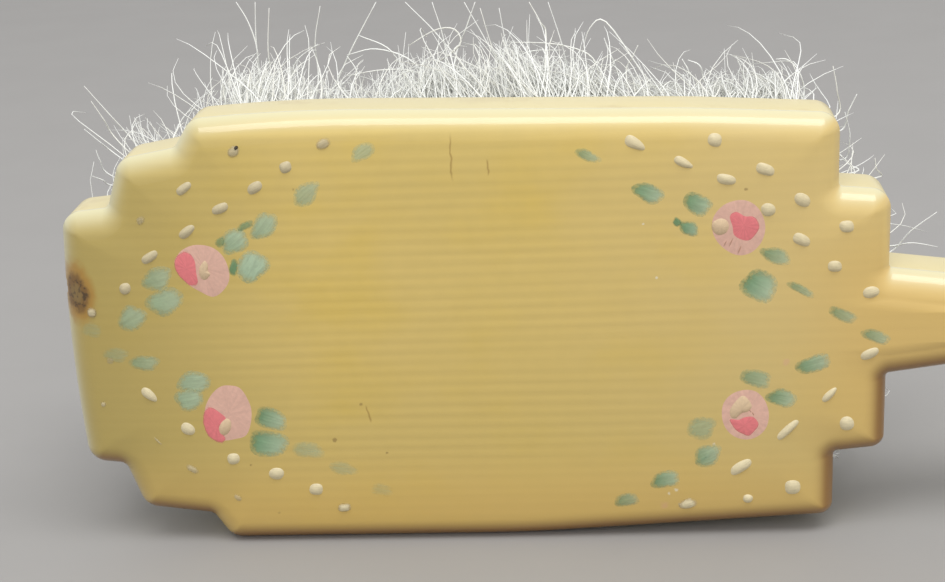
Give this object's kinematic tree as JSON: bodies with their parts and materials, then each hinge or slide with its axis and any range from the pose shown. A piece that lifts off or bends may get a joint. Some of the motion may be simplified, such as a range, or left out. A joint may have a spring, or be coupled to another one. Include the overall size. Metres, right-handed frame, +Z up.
{
  "type": "hairbrush",
  "caption": "Vanity hairbrush: a stepped flat head in two glued ivory-grained plastic layers, rows of soft white hair tufts drawn in by wire, and a slim tapering handle.",
  "frame": {"origin": "centre of the bounding box at its bottom, on the surface that the brush stands on with its lower long side", "axes": "+X along the length from the toe to the handle's end, +Y from the painted back to the bristle tips, +Z up across the width"},
  "size_m": [0.1518, 0.0242, 0.0425],
  "materials": {
    "ivory_back": "aged cream plastic with fine ivory graining, polished and slightly worn",
    "ivory_stock": "cream plastic with fine ivory graining, satin",
    "white_hair": "fine white hair, soft and uneven",
    "brass_wire": "drawn wire, dull",
    "enamel_paint": "hand-dabbed enamel paint, slightly raised"
  },
  "bodies": {
    "root": {"painted_back": "ivory_back", "bristle_stock": "ivory_stock", "tuft_row_1": "white_hair", "tuft_row_2": "white_hair", "tuft_row_3": "white_hair", "tuft_row_4": "white_hair", "tuft_row_5": "white_hair", "tuft_row_6": "white_hair", "tuft_row_7": "white_hair", "draw_wire_1": "brass_wire", "draw_wire_2": "brass_wire", "draw_wire_3": "brass_wire", "draw_wire_4": "brass_wire", "draw_wire_5": "brass_wire", "draw_wire_6": "brass_wire", "draw_wire_7": "brass_wire"}
  },
  "joints": []
}
